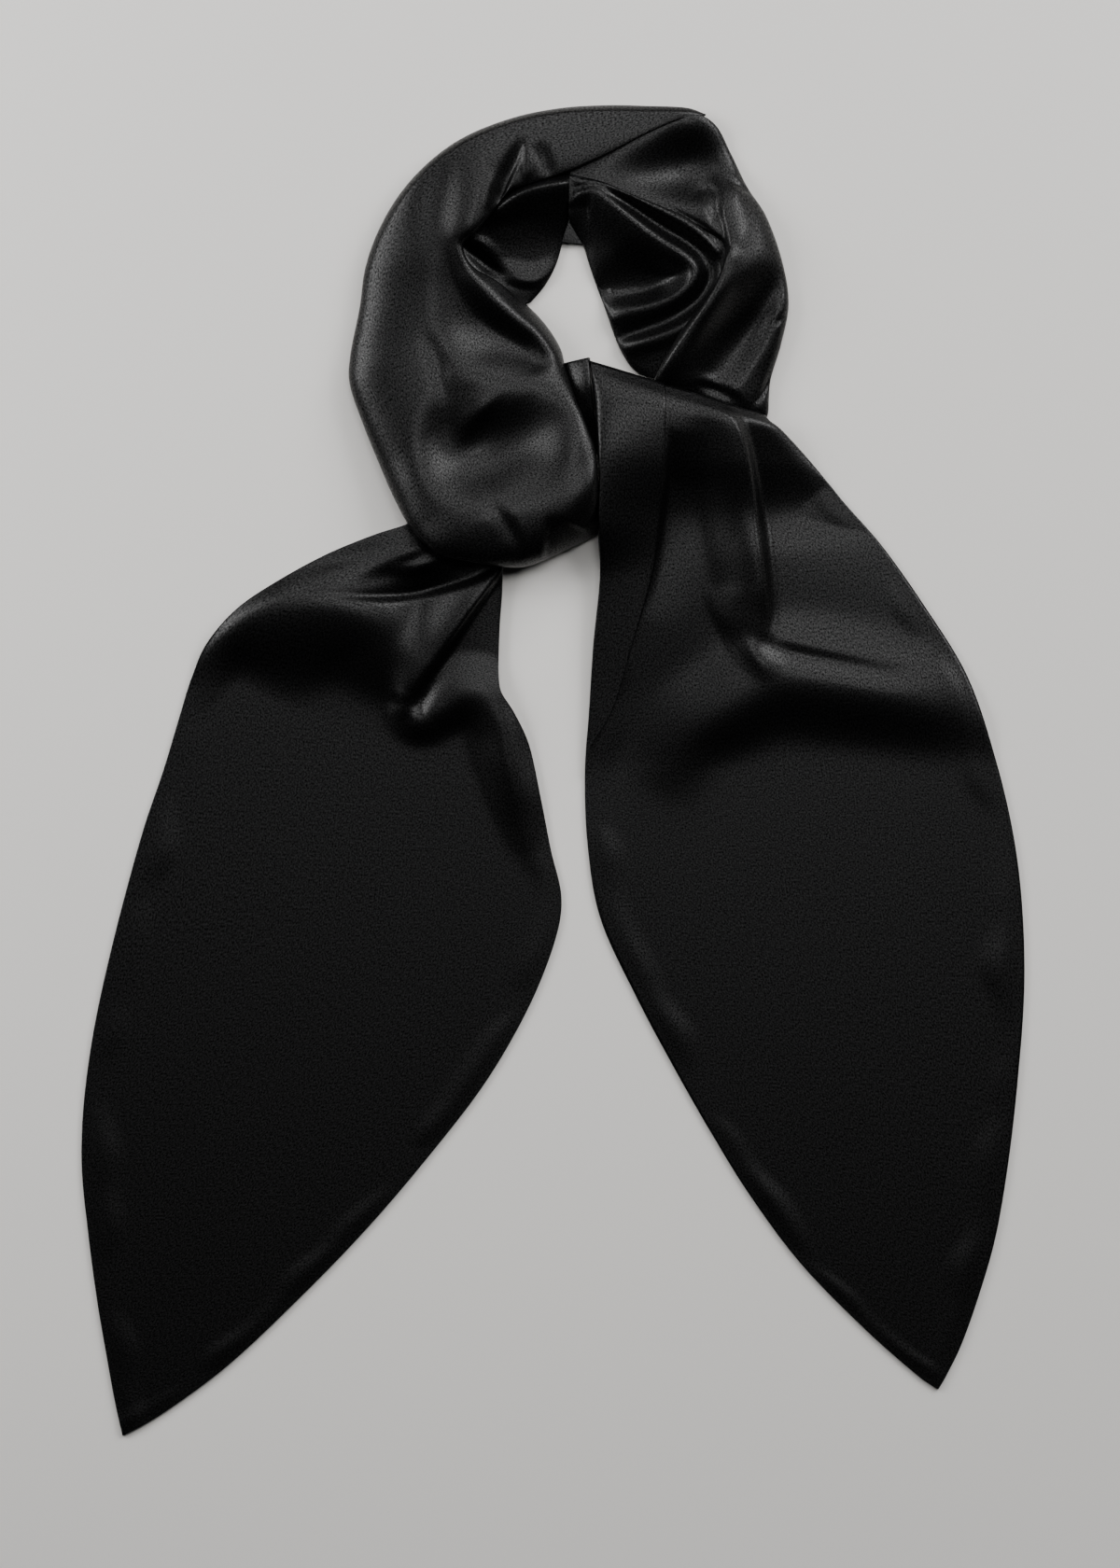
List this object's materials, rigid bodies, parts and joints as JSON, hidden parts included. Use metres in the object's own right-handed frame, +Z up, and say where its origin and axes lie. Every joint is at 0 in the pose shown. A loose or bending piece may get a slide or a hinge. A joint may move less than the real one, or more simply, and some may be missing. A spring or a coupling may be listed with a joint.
{
  "type": "evening scarf",
  "caption": "Black satin evening scarf with leaf-shaped points, tied in a half knot with a neck loop and laid flat.",
  "frame": {"origin": "on the table, below the middle of the whole scarf's box", "axes": "+Z up from the table, +Y from the points of the scarf towards its neck loop, +X to the right as seen from above"},
  "size_m": [0.4436, 0.6258, 0.0287],
  "materials": {
    "satin": "satin"
  },
  "bodies": {
    "root": {"ring_left": "satin", "ring_right": "satin", "ring_inner_left": "satin", "ring_inner_right": "satin", "ring_under_layer": "satin", "knot_strip": "satin", "tail_right": "satin", "tail_right_flap": "satin", "tail_left": "satin"}
  },
  "joints": []
}
